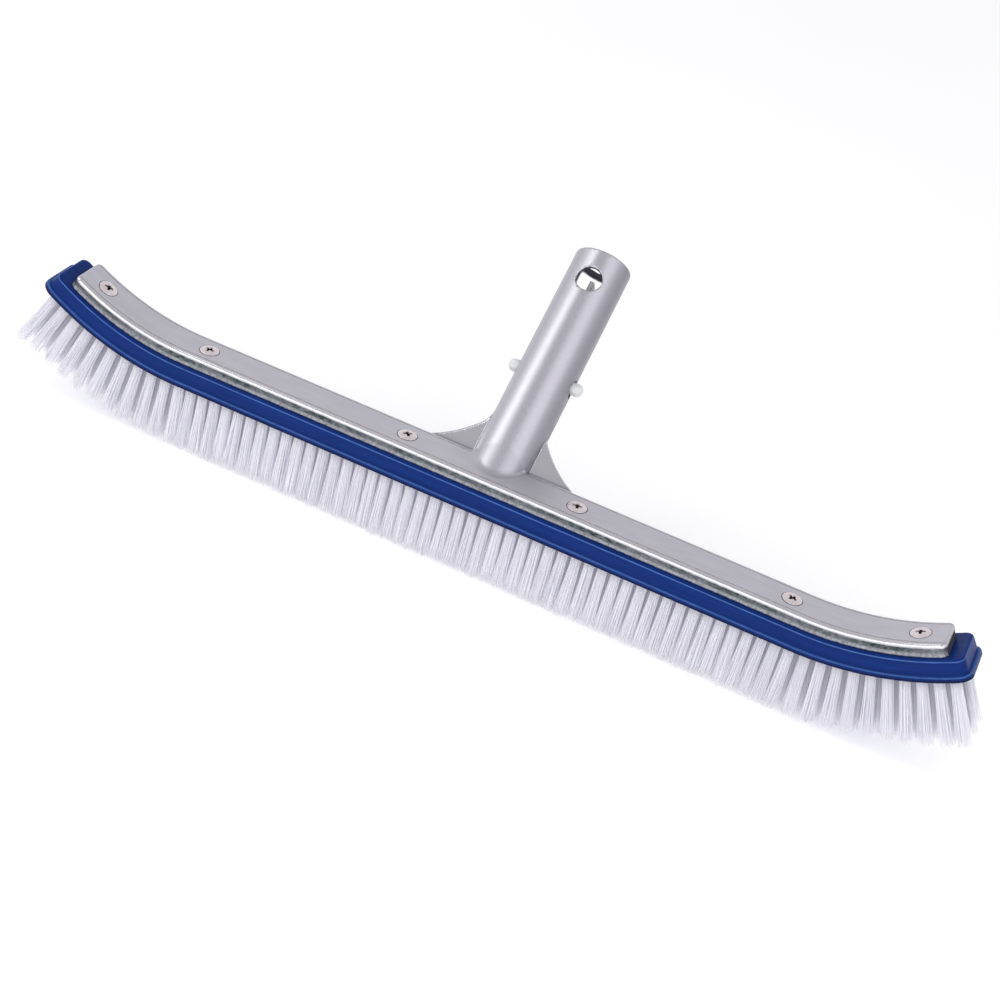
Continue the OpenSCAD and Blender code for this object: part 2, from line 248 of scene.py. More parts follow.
def screw_shape(x, y, h):
    """A raised countersunk screw, its rim just under h = 0."""
    across = np.hypot(x, y)
    dome_r = (SCREW_HEAD_R ** 2 + SCREW_DOME ** 2) / (2 * SCREW_DOME)
    dome = np.sqrt(across ** 2 + (h + dome_r - SCREW_DOME) ** 2) - dome_r
    head = meet(meet(dome, across - SCREW_HEAD_R, 0.25), -0.12 - h, 0.1)
    cone = np.maximum((across - SCREW_HEAD_R - (h + 0.15)) * 0.7071, h)
    shank = np.maximum(across - SCREW_R, np.maximum(h, -SCREW_LEN - h))
    body = np.minimum(np.minimum(head, np.maximum(cone, -2.8 - h)), shank)
    return cut(body, cross_recess(x, y, h), 0.12)


def bow_shape(u, f, a):
    """The fixed top of the clip, between its arms."""
    outline = plate(u, a - BOW_TOP + BOW_LEN / 2, 0.6 * ARM_T, BOW_LEN / 2, 0.45)
    return meet(outline, np.abs(f) - ARM_W / 2, 0.4)


def arm_shape(u, f, a):
    """Right arm of the clip: knuckle, flat spring leg and locking pin."""
    knuckle = meet(np.hypot(u - HINGE_X, a - HINGE_A) - KNUCKLE_R, np.abs(f) - ARM_W / 2, 0.4)
    along = (HINGE_A - a) * math.cos(ARM_TILT) + (u - HINGE_X) * math.sin(ARM_TILT)
    across = (u - HINGE_X) * math.cos(ARM_TILT) - (HINGE_A - a) * math.sin(ARM_TILT)
    length = (HINGE_A - PIN_A + ARM_PAST_PIN) / math.cos(ARM_TILT)
    outline = plate(along - length / 2, f, length / 2, ARM_W / 2, 1.2)
    leg = meet(outline, np.abs(across) - ARM_T / 2, 0.35)
    tip = SPIGOT_R + PIN_OUT
    pin = meet(np.hypot(f, a - PIN_A) - PIN_R, u - tip, 3.0)
    pin = np.maximum(pin, ARM_END_X - u)
    return join(join(knuckle, leg, 0.5), pin, 0.4)


# ---------- meshes ----------

def ticks(*spans):
    """Grid lines from spans of (start, end, step)."""
    parts = [np.linspace(a, b, max(int(round((b - a) / step)), 1), endpoint=False)
             for a, b, step in spans]
    return np.concatenate(parts + [[spans[-1][1]]])


CORNERS = np.array([(i, j, k) for i in (0, 1) for j in (0, 1) for k in (0, 1)])
EDGES = [(a, b) for a in range(8) for b in range(a + 1, 8)
         if np.abs(CORNERS[a] - CORNERS[b]).sum() == 1]


def gradient(distance, p, step=0.01):
    """Slope of a distance function at points p, by differences."""
    out = np.empty_like(p)
    for axis in range(3):
        d = np.zeros(3)
        d[axis] = step
        out[:, axis] = distance(*(p + d).T) - distance(*(p - d).T)
    return out / (2 * step)


def surface(distance, lines, regions):
    """Points and quads of the surface where distance is 0, by surface nets on a grid with these lines
    along each axis. Only the regions, each a slice of every axis, are looked at."""
    shape = tuple(len(line) for line in lines)
    value = np.ones(shape, np.float32)
    for region in regions:
        grid = np.meshgrid(*(line[part] for line, part in zip(lines, region)), indexing="ij")
        value[region] = distance(*grid)
    inside = value < 0
    cells = tuple(n - 1 for n in shape)
    count = np.zeros(cells, np.uint8)
    for c in CORNERS:
        count += inside[tuple(slice(o, o + n) for o, n in zip(c, cells))]
    index = np.argwhere((count > 0) & (count < 8))
    number = np.full(cells, -1, np.int64)
    number[tuple(index.T)] = np.arange(len(index))

    at = [index + c for c in CORNERS]
    corner_value = [value[tuple(i.T)].astype(float) for i in at]
    corner_place = [np.stack([line[i[:, n]] for n, line in enumerate(lines)], -1) for i in at]
    total, weight = np.zeros((len(index), 3)), np.zeros(len(index))
    for a, b in EDGES:
        crossing = (corner_value[a] < 0) != (corner_value[b] < 0)
        t = np.where(crossing, corner_value[a] / (corner_value[a] - corner_value[b] + 1e-30), 0)[:, None]
        total += crossing[:, None] * (corner_place[a] + t * (corner_place[b] - corner_place[a]))
        weight += crossing
    points = total / weight[:, None]

    quads = []
    for axis in range(3):
        one, two = (axis + 1) % 3, (axis + 2) % 3
        low = [slice(1, -1)] * 3
        low[axis] = slice(0, -1)
        high = list(low)
        high[axis] = slice(1, None)
        starts, ends = inside[tuple(low)], inside[tuple(high)]
        for flip in (False, True):
            edge = np.argwhere(starts & ~ends if not flip else ends & ~starts)
            edge[:, one] += 1
            edge[:, two] += 1
            ring = []
            for d_one, d_two in ((1, 1), (0, 1), (0, 0), (1, 0)):
                cell = edge.copy()
                cell[:, one] -= d_one
                cell[:, two] -= d_two
                ring.append(number[tuple(cell.T)])
            quads.append(np.stack(ring[::-1] if flip else ring, -1))
    quads = np.concatenate(quads)
    for _ in range(4):
        slope = gradient(distance, points)
        size = np.maximum((slope ** 2).sum(1), 0.25)
        move = -(distance(*points.T) / size)[:, None] * slope
        points += np.clip(move, -0.3, 0.3)
    return points, quads


def add_mesh(name, points, faces, material, normals=None, **attributes):
    """A smooth mesh object from points in millimetres, with float or vector attributes by name."""
    mesh = bpy.data.meshes.new(name)
    faces = np.asarray(faces)
    mesh.vertices.add(len(points))
    mesh.vertices.foreach_set("co", (np.asarray(points) * MM).astype(np.float32).ravel())
    sides = faces.shape[1]
    mesh.loops.add(faces.size)
    mesh.loops.foreach_set("vertex_index", faces.astype(np.int32).ravel())
    mesh.polygons.add(len(faces))
    mesh.polygons.foreach_set("loop_start", np.arange(0, faces.size, sides, dtype=np.int32))
    mesh.update(calc_edges=True)
    mesh.validate()
    mesh.polygons.foreach_set("use_smooth", np.ones(len(mesh.polygons), bool))
    for key, data in attributes.items():
        kind, field = ("FLOAT_VECTOR", "vector") if np.ndim(data) == 2 else ("FLOAT", "value")
        values = np.asarray(data, np.float32).ravel()
        mesh.attributes.new(key, kind, "POINT").data.foreach_set(field, values)
    if normals is not None:
        unit = normals / np.maximum(np.linalg.norm(normals, axis=1), 1e-9)[:, None]
        mesh.normals_split_custom_set_from_vertices([tuple(n) for n in unit])
    mesh.materials.append(material)
    piece = bpy.data.objects.new(name, mesh)
    bpy.context.scene.collection.objects.link(piece)
    return piece


def place(piece, body, slot, *nodes):
    """Puts a piece on its body and hides the CAD nodes it stands for; slot is not used."""
    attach(piece, body)
    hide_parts(*nodes)
    return piece


# ---------- materials ----------

class Material:
    """A node material with a Principled shader and short calls to wire it."""

    def __init__(self, name, **values):
        self.material = bpy.data.materials.new(name)
        self.material.use_nodes = True
        self.tree = self.material.node_tree
        self.shader = self.tree.nodes["Principled BSDF"]
        for key, value in values.items():
            self.shader.inputs[key.replace("_", " ")].default_value = value

    def node(self, kind, **settings):
        node = self.tree.nodes.new(kind)
        for key, value in settings.items():
            setattr(node, key, value)
        return node

    def put(self, value, socket):
        """Links an output to a socket, or sets the socket's own value."""
        if isinstance(value, bpy.types.NodeSocket):
            self.tree.links.new(value, socket)
        else:
            socket.default_value = value

    def attribute(self, name, output="Vector"):
        return self.node("ShaderNodeAttribute", attribute_name=name).outputs[output]

    def object_place(self):
        return self.node("ShaderNodeTexCoord").outputs["Object"]

    def scaled(self, vector, *scale):
        node = self.node("ShaderNodeMapping")
        self.put(vector, node.inputs["Vector"])
        node.inputs["Scale"].default_value = scale
        return node.outputs["Vector"]

    def noise(self, vector, scale, detail=4.0, roughness=0.55):
        node = self.node("ShaderNodeTexNoise")
        self.put(vector, node.inputs["Vector"])
        for key, value in (("Scale", scale), ("Detail", detail), ("Roughness", roughness)):
            node.inputs[key].default_value = value
        return node.outputs["Fac"]

    def math(self, operation, a, b=0.0, clamp=False):
        node = self.node("ShaderNodeMath", operation=operation, use_clamp=clamp)
        self.put(a, node.inputs[0])
        self.put(b, node.inputs[1])
        return node.outputs[0]

    def ramp(self, value, low, high, start=0.0, end=1.0):
        """Maps value from low..high to start..end, clamped."""
        node = self.node("ShaderNodeMapRange", clamp=True)
        self.put(value, node.inputs["Value"])
        for key, number in zip(("From Min", "From Max", "To Min", "To Max"), (low, high, start, end)):
            self.put(number, node.inputs[key])
        return node.outputs["Result"]

    def mix(self, factor, a, b, blend="MIX"):
        node = self.node("ShaderNodeMix", data_type="RGBA", blend_type=blend)
        self.put(factor, node.inputs[0])
        self.put(a, node.inputs[6])
        self.put(b, node.inputs[7])
        return node.outputs[2]

    def mix_vector(self, factor, a, b):
        node = self.node("ShaderNodeMix", data_type="VECTOR")
        self.put(factor, node.inputs[0])
        self.put(a, node.inputs[4])
        self.put(b, node.inputs[5])
        return node.outputs[1]

    def part(self, vector, axis):
        node = self.node("ShaderNodeSeparateXYZ")
        self.put(vector, node.inputs[0])
        return node.outputs[axis]

    def bump(self, height, strength, distance):
        node = self.node("ShaderNodeBump")
        node.inputs["Strength"].default_value = strength
        node.inputs["Distance"].default_value = distance
        self.put(height, node.inputs["Height"])
        self.put(node.outputs["Normal"], self.shader.inputs["Normal"])

    def set(self, **values):
        for key, value in values.items():
            self.put(value, self.shader.inputs[key.replace("_", " ")])
        return self.material


def rgb(*levels):
    """Display levels 0 to 255 to a linear colour."""
    return tuple(((v / 255 + 0.055) / 1.055) ** 2.4 if v > 10 else v / 3294.6 for v in levels) + (1.0,)


def cast_aluminium():
    """Satin top and spigot with fine brushing, a polished shoulder with a painted highlight and rough
    cast side walls; painted shade darkens the spigot's edges, the hollow of the side walls, the webs,
    the creases and the inner surfaces.
    """
    m = Material("cast aluminium", Metallic=1.0)
    flat, axial = m.attribute("flat"), m.attribute("axial")
    tube, wall, web_shade, crease_shade, inner = (m.attribute(name, "Fac")
                                      for name in ("tube", "wall", "web_shade", "crease_shade", "inner"))
    not_tube = m.math("SUBTRACT", 1.0, tube)
    height, edge = m.part(flat, 2), m.math("ABSOLUTE", m.part(flat, 1))
    brushed = m.mix_vector(tube, m.scaled(flat, 0.05, 2.4, 2.4), m.scaled(axial, 1.2, 1.2, 0.05))
    streaks = m.noise(brushed, 1.0, 5.0, 0.65)
    clouds = m.noise(m.scaled(flat, 0.06, 0.16, 0.16), 1.0, 3.0)
    pits = m.noise(m.scaled(flat, 0.8, 0.8, 0.8), 1.0, 5.0, 0.7)
    patches = m.noise(m.scaled(flat, 0.35, 0.5, 0.5), 1.0, 4.0, 0.7)
    satin = m.mix(m.ramp(streaks, 0.3, 0.7), rgb(203, 201, 207), rgb(217, 215, 222))
    # painted shade: the spigot darker towards its left and right edges, most on the right
    painted_side_shade = m.math("ABSOLUTE", m.part(axial, 0))
    painted_right_shade = m.ramp(m.part(axial, 0), 9.0, 13.0, 0.0, 0.5)
    painted_side_shade = m.math("ADD", m.ramp(painted_side_shade, 8.0, 13.5, 0.0, 0.5), painted_right_shade, True)
    painted_side_shade = m.math("MULTIPLY", tube, painted_side_shade)
    satin = m.mix(tube, satin, m.mix(m.ramp(streaks, 0.3, 0.7), rgb(184, 182, 188), rgb(194, 192, 199)))
    satin = m.mix(painted_side_shade, satin, rgb(88, 86, 98))
    cloudy = m.math("MULTIPLY", not_tube, m.ramp(clouds, 0.35, 0.7, 0.0, 0.3))
    satin = m.mix(cloudy, satin, rgb(190, 188, 196))

    ragged = m.math("ADD", height, m.ramp(patches, 0.3, 0.7, -0.35, 0.35))
    drift = m.noise(m.scaled(flat, 0.03, 0.0, 0.0), 1.0, 3.0)
    # painted shade: a patchy dark band in the hollow of the side walls, laid over the pitted cast tone
    # of the wall
    hollow_shade = m.math("MULTIPLY", m.ramp(ragged, -1.8, -2.1), m.ramp(ragged, -4.9, -4.1))
    hollow_shade = m.math("MULTIPLY", hollow_shade, m.ramp(drift, 0.35, 0.55, 0.35, 1.0))
    foot = m.mix(m.ramp(pits, 0.35, 0.65), rgb(118, 118, 124), rgb(190, 190, 196))
    dark = m.mix(m.ramp(patches, 0.38, 0.62), rgb(60, 70, 70), rgb(132, 138, 138))
    rough = m.mix(hollow_shade, foot, dark)
    colour = m.mix(wall, satin, rough)

    line = m.math("SUBTRACT", m.ramp(edge, 7.7, 8.0), m.ramp(edge, 8.3, 8.6), True)
    on_top = m.math("MULTIPLY", m.ramp(height, -0.6, -0.2), m.ramp(height, 0.5, 0.2))
    line = m.math("MULTIPLY", m.math("MULTIPLY", line, on_top), not_tube)
    line = m.math("MULTIPLY", line, m.ramp(patches, 0.35, 0.62, 0.3, 0.9))
    colour = m.mix(line, colour, rgb(138, 120, 124))
    # painted shade on the webs' front faces
    colour = m.mix(m.math("MULTIPLY", web_shade, 0.8), colour, rgb(170, 168, 175))
    # painted shade along the creases where the webs, bar and spigot meet
    colour = m.mix(m.math("MULTIPLY", crease_shade, 0.8, True), colour, rgb(84, 82, 90))
    # painted shade on inner surfaces: the bore, the underside hollow, the hang hole's wall and the screw
    # seats
    colour = m.mix(inner, colour, rgb(82, 82, 92))

    above_wall = m.math("MULTIPLY", m.ramp(height, -1.7, -1.3), not_tube)
    shoulder_polish_and_highlight = m.math("MULTIPLY", m.ramp(edge, 8.9, 9.3), above_wall)
    # painted highlight: the polished shoulder lightened in colour
    colour = m.mix(m.math("MULTIPLY", shoulder_polish_and_highlight, 0.5), colour, rgb(228, 227, 231))
    roughness = m.ramp(streaks, 0.25, 0.75, 0.36, 0.44)
    roughness = m.math("SUBTRACT", roughness, m.math("MULTIPLY", shoulder_polish_and_highlight, 0.16))
    roughness = m.math("ADD", roughness, m.math("MULTIPLY", wall, m.ramp(pits, 0.35, 0.65, 0.0, 0.25)))
    roughness = m.math("ADD", roughness, m.math("MULTIPLY", inner, 0.3))
    relief = m.math("ADD", m.math("MULTIPLY", streaks, m.ramp(tube, 0.0, 1.0, 0.35, 0.12)),
                    m.math("MULTIPLY", m.math("MULTIPLY", pits, wall), 1.8))
    m.bump(relief, 0.5, 0.0001)
    return m.set(Base_Color=colour, Roughness=roughness)


def blue_plastic():
    """Moulded polypropylene with faint flow marks and a scuffed texture, painted highlights along its
    upper edge and its lip, and painted shade on the lip's front.
    """
    m = Material("blue plastic", Specular_IOR_Level=0.12)
    flat = m.attribute("flat")
    flow = m.noise(m.scaled(flat, 0.03, 0.5, 0.5), 1.0, 4.0)
    grain = m.noise(m.scaled(flat, 1.0, 1.0, 1.0), 1.6, 3.0, 0.6)
    scuff = m.noise(m.scaled(flat, 0.25, 2.5, 2.5), 1.0, 5.0, 0.7)
    colour = m.mix(m.ramp(flow, 0.3, 0.7), rgb(4, 38, 102), rgb(8, 46, 116))
    height = m.part(flat, 2)
    # painted highlight: light blue lines along the rounded top edge and the lip's upper edge, broken up
    # by the scuff noise
    top_edge_highlight = m.math("SUBTRACT", m.ramp(height, -7.55, -7.4), m.ramp(height, -7.15, -7.0), True)
    lip_edge_highlight = m.math("SUBTRACT", m.ramp(height, -14.55, -14.4), m.ramp(height, -14.2, -14.1), True)
    lines = m.math("ADD", m.math("MULTIPLY", top_edge_highlight, 0.8), m.math("MULTIPLY", lip_edge_highlight, 0.7), True)
    painted_edge_highlight = m.math("MULTIPLY", lines, m.ramp(scuff, 0.35, 0.65, 0.45, 1.0))
    colour = m.mix(painted_edge_highlight, colour, rgb(90, 130, 200))
    # painted shade: the lip's front face darker
    colour = m.mix(m.ramp(height, -15.2, -15.5, 0.0, 0.8), colour, rgb(6, 14, 48))
    m.bump(m.math("ADD", grain, m.math("MULTIPLY", scuff, 0.6)), 0.25, 0.00008)
    return m.set(Base_Color=colour, Roughness=m.ramp(scuff, 0.3, 0.7, 0.3, 0.42))


def bristle_nylon():
    """White nylon filaments, slightly clear, each a little lighter or darker than its neighbours,
    glowing faintly as painted light, with painted shade towards the roots, most in the inner rows.
    """
    # painted light: the filaments glow faintly
    m = Material("bristle nylon", IOR=1.53, Subsurface_Weight=0.8, Subsurface_Scale=0.004,
                 Specular_IOR_Level=0.4, Emission_Strength=0.085)
    m.shader.inputs["Emission Color"].default_value = (0.86, 0.85, 1.0, 1)
    m.shader.inputs["Subsurface Radius"].default_value = (1.0, 1.0, 1.0)
    shade, depth, inside = (m.attribute(name, "Fac") for name in ("shade", "depth", "inside"))
    mottled = m.noise(m.scaled(m.object_place(), 900, 900, 90), 1.0, 2.0)
    colour = m.mix(shade, rgb(244, 243, 251), rgb(254, 253, 255))
    colour = m.mix(m.ramp(mottled, 0.35, 0.65, 0.0, 0.3), colour, rgb(238, 237, 246))
    # painted shade: darker towards the roots
    colour = m.mix(m.ramp(depth, 0.0, 0.25, 0.3, 0.0), colour, rgb(206, 204, 220))
    # painted shade: the inner rows darker towards their roots
    inner_row_shade = m.math("MULTIPLY", inside, m.ramp(depth, 0.1, 0.95, 0.72, 0.0))
    colour = m.mix(inner_row_shade, colour, rgb(112, 110, 128))
    return m.set(Base_Color=colour, Roughness=m.ramp(mottled, 0.3, 0.7, 0.32, 0.48))


def clip_nylon():
    """Milky unfilled nylon."""
    m = Material("clip nylon", IOR=1.53, Transmission_Weight=0.15, Subsurface_Weight=0.5,
                 Subsurface_Scale=0.004)
    m.shader.inputs["Subsurface Radius"].default_value = (1.0, 0.95, 0.9)
    cloudy = m.noise(m.object_place(), 420, 3.0)
    colour = m.mix(m.ramp(cloudy, 0.35, 0.65), rgb(228, 231, 230), rgb(242, 244, 243))
    m.bump(m.noise(m.object_place(), 2600, 3.0), 0.15, 0.00004)
    return m.set(Base_Color=colour, Roughness=m.ramp(cloudy, 0.3, 0.7, 0.28, 0.4))


def screw_steel():
    """Warm nickel-plated steel, dull inside the recess, where painted shade makes it dark."""
    m = Material("screw steel", Metallic=1.0)
    stain = m.noise(m.object_place(), 900, 4.0, 0.6)
    deep = m.attribute("deep", "Fac")
    colour = m.mix(m.ramp(stain, 0.3, 0.7), rgb(226, 214, 214), rgb(250, 242, 244))
    # painted shade inside the cross recess
    colour = m.mix(deep, colour, rgb(46, 38, 38))
    m.bump(m.noise(m.object_place(), 3000, 3.0), 0.1, 0.00002)
    return m.set(Base_Color=colour, Roughness=m.ramp(stain, 0.3, 0.7, 0.34, 0.42))


def staple_brass():
    """Drawn brass wire, slightly stained."""
    m = Material("staple wire", Metallic=1.0)
    stain = m.noise(m.object_place(), 1500, 3.0)
    colour = m.mix(m.ramp(stain, 0.3, 0.7), rgb(176, 148, 92), rgb(214, 186, 122))
    return m.set(Base_Color=colour, Roughness=m.ramp(stain, 0.3, 0.7, 0.25, 0.4))


def studio_floor():
    """Plain pale floor."""
    m = Material("studio floor", Roughness=0.9, Specular_IOR_Level=0.0, Emission_Strength=0.25)
    m.shader.inputs["Emission Color"].default_value = (1, 1, 1, 1)
    faint = m.noise(m.object_place(), 3.0, 2.0)
    return m.set(Base_Color=m.mix(m.ramp(faint, 0.3, 0.7), rgb(243, 243, 244), rgb(246, 246, 247)))


# ---------- pieces ----------

def casting_grid():
    """Grid lines along s, y and h, fine at holes and edges, and the regions that hold the casting."""
    near_middle, near_end = (141.6, 152.8), (199.4, 210.6)
    right = [(37.3, 48.5, 0.4), (48.5, 141.6, 2.4), (*near_middle, 0.4), (152.8, 199.4, 1.8),
             (*near_end, 0.4), (210.6, BACK_HALF + 0.6, 0.5)]
    left = [(-b, -a, step) for a, b, step in reversed(right)]
    s_lines = ticks(*left, (-37.3, -15, 0.9), (-15, 15, 0.7), (15, 37.3, 0.9), *right)
    y_lines = ticks((-11.2, -5.6, 0.45), (-5.6, 5.6, 0.4), (5.6, 12, 0.5), (12, 112, 1.0))
    h_lines = ticks((-7, 1.0, 0.4), (1.0, 80, 1.0))
    middle = np.flatnonzero(np.abs(s_lines) <= 48)
    centre = slice(middle[0], middle[-1] + 1)
    bar_y, bar_h = slice(0, np.searchsorted(y_lines, 12.5)), slice(0, np.searchsorted(h_lines, 1.6))
    return (s_lines, y_lines, h_lines), [(EVERY, bar_y, bar_h), (centre, EVERY, EVERY)]


def casting_masks(points, slope):
    """0 to 1 masks for the material: spigot, side walls, and painted shade on the webs, in their creases
    and on inner surfaces.
    """
    s, y, h = points.T
    u, f, a = to_spigot(s, y, h)
    d_bar, d_tube, d_web = back_bar(s, y, h), spigot_outside(u, f, a), web_plate(u, f, a)
    tube = smooth(0.8, -0.4, d_tube) * smooth(0.2, 1.2, d_bar)
    wall = smooth(0.5, 0.1, d_bar) * smooth(-1.3, -2.0, h)

    # painted shade: the webs' front faces darker, their sideways edges left light
    web_shade = smooth(0.6, 0.1, d_web) * smooth(0.0, 0.5, np.minimum(d_bar, d_tube))
    facing = np.abs(slope[:, 2] * math.sin(LEAN) - slope[:, 1] * math.cos(LEAN))
    web_shade *= smooth(0.5, 0.95, facing / np.maximum(np.linalg.norm(slope, axis=1), 1e-6))

    # painted shade in the creases: where the webs meet the bar and spigot, on the webs near the bar,
    # along the bar's rear edge by the webs and round the spigot's front foot
    corner = np.abs(d_web) + np.abs(np.minimum(d_bar, d_tube))
    crease_shade = smooth(0.7, 0.15, corner) + 0.45 * web_shade * smooth(8.0, 0.5, np.abs(d_bar))
    crease_shade += smooth(0.5, 0.1, np.abs(d_bar)) * smooth(1.2, 0.2, np.abs(d_web)) * (y > 9)
    crease_shade += 0.3 * smooth(2.2, 0.4, np.abs(d_bar) + np.abs(d_tube)) * (y < 8)

    # painted shade inside the bore, under the bar, on the hang hole's wall and in the gap round each
    # screw head
    axis_gap = np.hypot(u, f)
    inner = smooth(1.1, 0.6, axis_gap - BORE_R) * smooth(BORE_FLOOR - 2, BORE_FLOOR, a)
    inner = np.maximum(inner, smooth(-2.2, -2.38, h) * smooth(0.1, -0.4, np.abs(y) - BACK_W / 2 + 2))
    hole_wall = smooth(0.55, 0.2, np.hypot(u, a - HOLE_A) - HOLE_R)
    hole_wall = hole_wall * smooth(SPIGOT_R - 0.3, SPIGOT_R - 0.8, axis_gap)
    inner = np.maximum(inner, hole_wall * (f > 5))
    across = np.hypot(np.min([np.abs(s - place) for place in SCREW_S], axis=0), y)
    inner = np.maximum(inner, smooth(5.0, 4.85, across) * smooth(-0.12, -0.35, h) * (h > -2))
    return dict(tube=tube, wall=wall, web_shade=web_shade, crease_shade=crease_shade, inner=inner)


def make_casting(material):
    """The casting, meshed flat and then bent with the brush."""
    points, quads = surface(casting, *casting_grid())
    slope = gradient(casting, points)
    axial = np.stack(to_spigot(*points.T), -1)
    return add_mesh("back_casting_cast", bend(points), quads, material, bend_direction(points, slope),
                    flat=points, axial=axial, **casting_masks(points, slope))


def block_profile():
    """(outward, height) points of the block's side, from the brushing face up to the back."""
    foot, top = -BACK_H - BLOCK_H, -BACK_H

    def arc(x, h, r, start, end, steps=6):
        angles = np.radians(np.linspace(start, end, steps + 1))
        return [(x + r * math.cos(t), h + r * math.sin(t)) for t in angles]

    draft = 0.25
    points = arc(LIP_OUT - 0.3, foot + 0.3, 0.3, -90, 0)
    points += arc(LIP_OUT - 0.4, foot + LIP_H - 0.4, 0.4, 0, 90)
    points += arc(0.5, foot + LIP_H + 0.5, 0.5, -90, -178)[1:]
    points += arc(-draft - 1.5, top - 1.5, 1.5, 4, 90, 8)
    return points


def make_block(material):
    """The block, its side profile carried round its outline."""
    ring_of_s = np.linspace(-(BLOCK_HALF - BLOCK_CORNER), BLOCK_HALF - BLOCK_CORNER, 321)
    angles = np.linspace(0, math.pi / 2, 11)
    rings = []
    for out, h in block_profile():
        r, side = BLOCK_CORNER + out, BLOCK_W / 2 + out
        right = [(BLOCK_HALF - BLOCK_CORNER + r * math.sin(t), -side + r - r * math.cos(t))
                 for t in angles[1:]]
        front = [(-s, y) for s, y in reversed(right)] + [(s, -side) for s in ring_of_s] + right
        rear = [(s, -y) for s, y in reversed(front)]
        rings.append([(s, y, h) for s, y in front + rear])
    rings = np.array(rings)
    count, around = rings.shape[:2]
    half = around // 2
    base = np.arange(around)
    nxt = np.roll(base, -1)
    quads = [np.stack([low + base, low + nxt, low + around + nxt, low + around + base], -1)
             for low in range(0, (count - 1) * around, around)]
    i = np.arange(half - 1)
    caps = np.stack([i, i + 1, around - 2 - i, around - 1 - i], -1)
    quads += [caps[:, ::-1], (count - 1) * around + caps]
    points = rings.reshape(-1, 3)
    piece = add_mesh("brush_block_moulded", bend(points), np.concatenate(quads), material, flat=points)
    sharp = piece.modifiers.new("weighted", "WEIGHTED_NORMAL")
    sharp.keep_sharp = True
    return piece


def make_screws(material):
    """The six screws, one mesh turned and moved to each place."""
    across = ticks((-4.75, 4.75, 0.17))
    along = ticks((-SCREW_LEN - 0.6, -3.0, 0.6), (-3.0, 1.2, 0.14))
    points, quads = surface(screw_shape, (across, across, along), WHOLE)
    normals = gradient(screw_shape, points)
    # painted shade: how dark the recess is painted, stronger deeper in
    depth = smooth(0.45, 0.75, SCREW_DOME - points[:, 2])
    deep = smooth(0.25, 0.0, np.abs(cross_recess(*points.T))) * np.maximum(depth, 0.35)
    for number, (s, turn) in enumerate(zip(SCREW_S, SCREW_TURN), 1):
        c, d = math.cos(math.radians(turn)), math.sin(math.radians(turn))
        spin = np.array([[c, -d, 0], [d, c, 0], [0, 0, 1]])
        at = np.tile([s, 0.0, 0.0], (len(points), 1))
        local = points @ spin.T
        placed = bend(at) + bend_direction(at, local)
        piece = add_mesh(f"screw_{number}_plated", placed, quads, material,
                         bend_direction(at, normals @ spin.T), deep=deep)
        place(piece, ROOT, "screw_steel", f"screw_{number}")


def make_clip(material):
    """The top of the clip and its two arms, the left one a mirror of the right."""
    f_lines = ticks((-4.9, 4.9, 0.35))
    lines = (ticks((-2, 2, 0.3)), f_lines, ticks((BOW_TOP - BOW_LEN - 0.5, BOW_TOP + 0.5, 0.3)))
    points, quads = surface(bow_shape, lines, WHOLE)
    axes = from_spigot(np.eye(3)) - from_spigot(np.zeros(3))
    piece = add_mesh("clip_bow_moulded", from_spigot(points), quads[:, ::-1], material,
                     gradient(bow_shape, points) @ axes)
    place(piece, ROOT, "clip_nylon", "clip_bow")
    lines = (ticks((-0.2, 19.5, 0.33)), f_lines, ticks((35.5, 88, 0.4)))
    points, quads = surface(arm_shape, lines, WHOLE)
    normals = gradient(arm_shape, points)
    for side, body in ((1, "right_arm"), (-1, "left_arm")):
        flip = np.array([side, 1, 1])
        faces = quads[:, ::-1] if side > 0 else quads
        piece = add_mesh(f"clip_{body}_moulded", from_spigot(points * flip), faces, material,
                         (normals * flip) @ axes)
        place(piece, body, "clip_nylon", "clip_arm_" + body.split("_")[0])


def filament_faces(total):
    """Quads of the filaments: their sides, and a cap at the tip and at the root of each."""
    start = (np.arange(total) * LEVELS * SIDES)[:, None, None]
    level = (np.arange(LEVELS - 1) * SIDES)[None, :, None]
    side = np.arange(SIDES)[None, None, :]
    after = (np.arange(SIDES) + 1) % SIDES
    ring = np.stack([start + level + side, start + level + SIDES + side,
                     start + level + SIDES + after, start + level + after], -1).reshape(-1, 4)
    ends = start[:, :, 0] + (LEVELS - 1) * SIDES + np.arange(SIDES)[None, ::-1]
    caps = start[:, :, 0] + np.arange(SIDES)[None, :]
    return np.concatenate([ring, ends.reshape(-1, 4), caps.reshape(-1, 4)])


